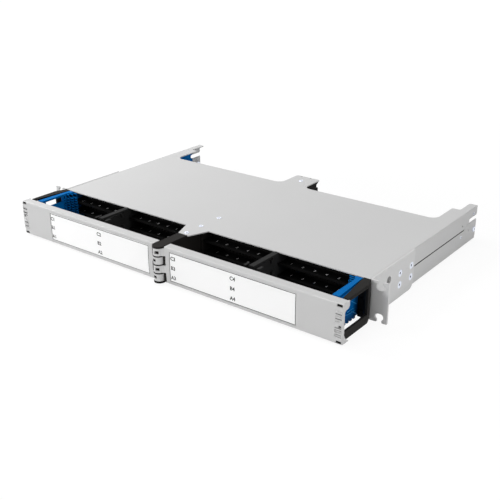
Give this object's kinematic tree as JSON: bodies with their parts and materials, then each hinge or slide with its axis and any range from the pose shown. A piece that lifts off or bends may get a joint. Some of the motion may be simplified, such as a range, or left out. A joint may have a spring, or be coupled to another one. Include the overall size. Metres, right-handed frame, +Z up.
{
  "type": "fibre module chassis",
  "caption": "Low wide rack chassis for fibre modules, with two butterfly doors on one centre hinge, numbered module shelves, side cord guides and bolt-on rack ears.",
  "frame": {"origin": "on the underside of the tray, at the middle of its width, level with the front edge of the cover", "axes": "+X to the right seen from the front, +Y from the doors to the back of the rack, +Z up"},
  "size_m": [0.4826, 0.3254, 0.044],
  "materials": {
    "grey_paint": "fine satin powder coat, light grey",
    "bracket_paint": "satin powder coat, a little darker grey",
    "zinc_screw": "bright zinc plate",
    "steel_pin": "plain ground steel",
    "black_plastic": "moulded, satin black",
    "grey_plastic": "moulded, satin dark grey",
    "module_plastic": "moulded, satin black",
    "blue_plastic": "moulded, satin blue",
    "door_plastic": "moulded, satin light grey",
    "label_card": "printed white card under a thin matt film"
  },
  "bodies": {
    "chassis": {"base_tray": "grey_paint", "top_cover": "grey_paint", "ear_left": "bracket_paint", "ear_right": "bracket_paint", "ear_screws_left": "zinc_screw", "ear_screws_right": "zinc_screw", "cover_screws": "zinc_screw", "side_screws": "zinc_screw", "centre_divider": "black_plastic", "hinge_bracket": "black_plastic", "hinge_pin": "steel_pin", "mid_divider_left": "grey_plastic", "mid_divider_right": "grey_plastic", "side_guide_left": "blue_plastic", "side_guide_right": "blue_plastic", "side_arm_left": "black_plastic", "side_arm_right": "black_plastic", "module_1a": "module_plastic", "module_1b": "module_plastic", "module_1c": "module_plastic", "module_2a": "module_plastic", "module_2b": "module_plastic", "module_2c": "module_plastic", "module_3a": "module_plastic", "module_3b": "module_plastic", "module_3c": "module_plastic", "module_4a": "module_plastic", "module_4b": "module_plastic", "module_4c": "module_plastic"},
    "left_door": {"door_left": "door_plastic", "label_left": "label_card"},
    "right_door": {"door_right": "door_plastic", "label_right": "label_card"}
  },
  "joints": [
    {"name": "left_door_hinge", "type": "hinge", "parent": "chassis", "child": "left_door", "pos_m": [0, -0.0629, 0.0215], "axis": [0, 0, 1], "range_deg": [0, 85]},
    {"name": "right_door_hinge", "type": "hinge", "parent": "chassis", "child": "right_door", "pos_m": [0, -0.0629, 0.0215], "axis": [0, 0, -1], "range_deg": [0, 85]}
  ]
}
